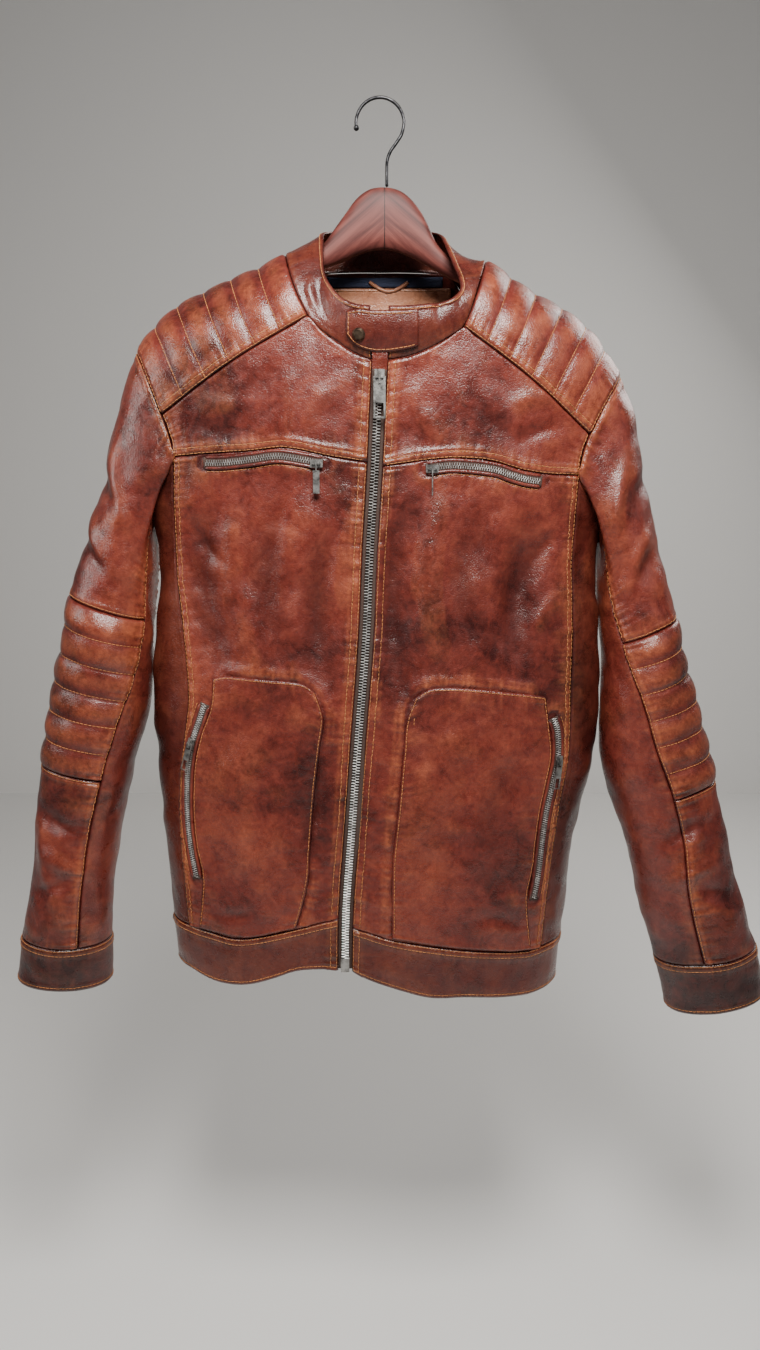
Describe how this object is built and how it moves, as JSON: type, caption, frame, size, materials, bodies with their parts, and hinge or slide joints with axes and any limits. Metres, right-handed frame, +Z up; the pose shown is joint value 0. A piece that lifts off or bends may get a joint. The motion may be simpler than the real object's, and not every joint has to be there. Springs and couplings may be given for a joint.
{
  "type": "leather jacket on a wooden hanger",
  "caption": "Worn brown leather zip jacket with quilted shoulders and ribbed elbow panels, hanging open-sleeved on a contoured wooden hanger with a wire hook.",
  "frame": {"origin": "top of the inside of the hanger's hook, where the hook rests on what carries it", "axes": "+Z up, the jacket's front faces -Y, +X is to the viewer's right"},
  "size_m": [0.831, 0.1484, 0.9469],
  "materials": {
    "leather": "antiqued brown, satin, mottled, worn on its raised edges",
    "leather_tan": "tan lining leather, matt",
    "tape_navy": "navy woven tape",
    "gunmetal": "gunmetal zip metal on brown tape",
    "snap_bronze": "dark bronze snap",
    "hanger_wood": "reddish-brown varnished wood",
    "hook_wire": "black wire"
  },
  "bodies": {
    "garment": {"back_panel": "leather", "chest_left": "leather", "chest_right": "leather", "chest_slider_left": "gunmetal", "chest_slider_right": "gunmetal", "chest_zip_left": "gunmetal", "chest_zip_right": "gunmetal", "collar_band": "leather", "collar_snap": "snap_bronze", "collar_tab": "leather", "cuff_left": "leather", "cuff_right": "leather", "elbow_left": "leather", "elbow_right": "leather", "forearm_left": "leather", "forearm_right": "leather", "front_left": "leather", "front_right": "leather", "hang_loop": "leather_tan", "hanger_hook": "hook_wire", "hanger_wood": "hanger_wood", "hem_back": "leather", "hem_left": "leather", "hem_right": "leather", "main_slider": "gunmetal", "main_zip": "gunmetal", "neck_facing": "leather_tan", "neck_tape": "tape_navy", "pocket_panel_left": "leather", "pocket_panel_right": "leather", "pocket_slider_left": "gunmetal", "pocket_slider_right": "gunmetal", "pocket_zip_left": "gunmetal", "pocket_zip_right": "gunmetal", "side_left": "leather", "side_right": "leather", "under_sleeve_left": "leather", "under_sleeve_right": "leather", "upper_sleeve_left": "leather", "upper_sleeve_right": "leather", "yoke_left": "leather", "yoke_right": "leather", "zip_stop": "gunmetal"},
    "main_pull": {"main_pull": "gunmetal"},
    "chest_pull_left": {"chest_pull_left": "gunmetal"},
    "chest_pull_right": {"chest_pull_right": "gunmetal"},
    "pocket_pull_left": {"pocket_pull_left": "gunmetal"},
    "pocket_pull_right": {"pocket_pull_right": "gunmetal"}
  },
  "joints": [
    {"name": "main_pull_swing", "type": "hinge", "parent": "garment", "child": "main_pull", "pos_m": [-0.00044, -0.06993, -0.27007], "axis": [-1, 0.001, 0], "range_deg": [0, 160]},
    {"name": "chest_pull_left_swing", "type": "hinge", "parent": "garment", "child": "chest_pull_left", "pos_m": [-0.06214, -0.07077, -0.35101], "axis": [-0.9998, 0.0204, 0], "range_deg": [0, 150]},
    {"name": "chest_pull_right_swing", "type": "hinge", "parent": "garment", "child": "chest_pull_right", "pos_m": [0.0511, -0.07092, -0.35598], "axis": [-0.9999, -0.0145, 0], "range_deg": [0, 150]},
    {"name": "pocket_pull_left_swing", "type": "hinge", "parent": "garment", "child": "pocket_pull_left", "pos_m": [-0.19761, -0.05687, -0.63541], "axis": [-0.8832, 0.3693, 0.2892], "range_deg": [0, 150]},
    {"name": "pocket_pull_right_swing", "type": "hinge", "parent": "garment", "child": "pocket_pull_right", "pos_m": [0.18714, -0.05879, -0.65345], "axis": [-0.9216, -0.3746, 0.1013], "range_deg": [0, 150]}
  ]
}
